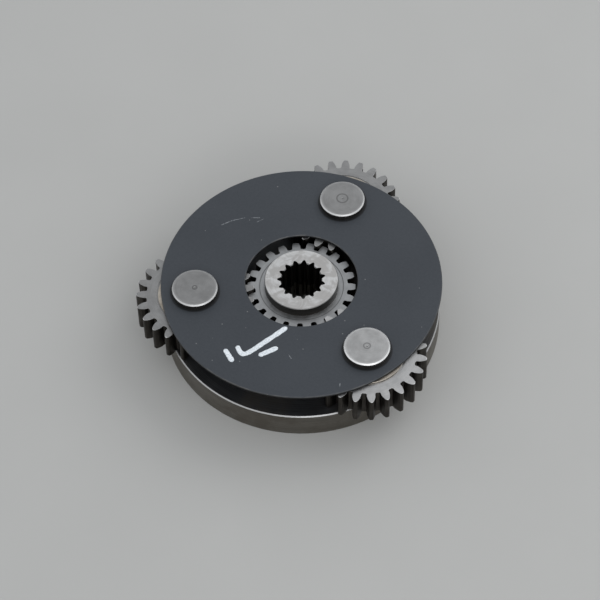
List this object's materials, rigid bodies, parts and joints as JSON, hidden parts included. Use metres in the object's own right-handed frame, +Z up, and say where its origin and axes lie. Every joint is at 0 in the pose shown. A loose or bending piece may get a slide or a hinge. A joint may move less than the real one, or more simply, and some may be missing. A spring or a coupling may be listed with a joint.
{
  "type": "planetary gear set",
  "caption": "Planet carrier with a thick lower disc, thin top plate and headed pins; planet gears mesh with a loose central sun gear that has a raised hub and a splined bore.",
  "frame": {"origin": "on the main axis at the underside of the lower carrier disc", "axes": "+Z up the main axis towards the top plate and the pin heads; planet pin 1 stands on +Y"},
  "size_m": [0.2235, 0.2261, 0.0547],
  "materials": {
    "carrier_steel": "turned steel, oily, slightly brown",
    "dark_plate_steel": "dark slate phosphate or oxide, semi-matt, bare steel at the edges",
    "gear_steel": "machined end faces, darker hardened tooth flanks",
    "pin_steel": "fine turned, satin",
    "roller_steel": "ground",
    "bronze": "machined bronze",
    "spring_steel": "dark rolled spring steel"
  },
  "bodies": {
    "carrier": {"lower_carrier": "carrier_steel", "top_plate": "dark_plate_steel", "sun_thrust_washer": "bronze", "planet_pin_1": "pin_steel", "lower_thrust_washer_1": "bronze", "upper_thrust_washer_1": "bronze", "spring_pin_1": "spring_steel", "planet_pin_2": "pin_steel", "lower_thrust_washer_2": "bronze", "upper_thrust_washer_2": "bronze", "spring_pin_2": "spring_steel", "planet_pin_3": "pin_steel", "lower_thrust_washer_3": "bronze", "upper_thrust_washer_3": "bronze", "spring_pin_3": "spring_steel"},
    "sun": {"sun_gear": "gear_steel"},
    "planet_1": {"planet_gear_1": "gear_steel"},
    "rollers_1": {"needle_rollers_1": "roller_steel"},
    "planet_2": {"planet_gear_2": "gear_steel"},
    "rollers_2": {"needle_rollers_2": "roller_steel"},
    "planet_3": {"planet_gear_3": "gear_steel"},
    "rollers_3": {"needle_rollers_3": "roller_steel"}
  },
  "joints": [
    {"name": "sun_spin", "type": "hinge", "parent": "carrier", "child": "sun", "pos_m": [0, 0, 0.0331], "axis": [0, 0, 1], "continuous": true},
    {"name": "planet_spin_1", "type": "hinge", "parent": "carrier", "child": "planet_1", "pos_m": [0, 0.07875, 0.03495], "axis": [0, 0, 1], "continuous": true},
    {"name": "roller_orbit_1", "type": "hinge", "parent": "carrier", "child": "rollers_1", "pos_m": [0, 0.07875, 0.03495], "axis": [0, 0, 1], "continuous": true},
    {"name": "planet_spin_2", "type": "hinge", "parent": "carrier", "child": "planet_2", "pos_m": [-0.0682, -0.03938, 0.03495], "axis": [0, 0, 1], "continuous": true},
    {"name": "roller_orbit_2", "type": "hinge", "parent": "carrier", "child": "rollers_2", "pos_m": [-0.0682, -0.03938, 0.03495], "axis": [0, 0, 1], "continuous": true},
    {"name": "planet_spin_3", "type": "hinge", "parent": "carrier", "child": "planet_3", "pos_m": [0.0682, -0.03938, 0.03495], "axis": [0, 0, 1], "continuous": true},
    {"name": "roller_orbit_3", "type": "hinge", "parent": "carrier", "child": "rollers_3", "pos_m": [0.0682, -0.03938, 0.03495], "axis": [0, 0, 1], "continuous": true}
  ],
  "couplings": [
    {"joint": "planet_spin_1", "follows": "sun_spin", "ratio": -0.95652},
    {"joint": "roller_orbit_1", "follows": "sun_spin", "ratio": -0.54658},
    {"joint": "planet_spin_2", "follows": "sun_spin", "ratio": -0.95652},
    {"joint": "roller_orbit_2", "follows": "sun_spin", "ratio": -0.54658},
    {"joint": "planet_spin_3", "follows": "sun_spin", "ratio": -0.95652},
    {"joint": "roller_orbit_3", "follows": "sun_spin", "ratio": -0.54658}
  ]
}
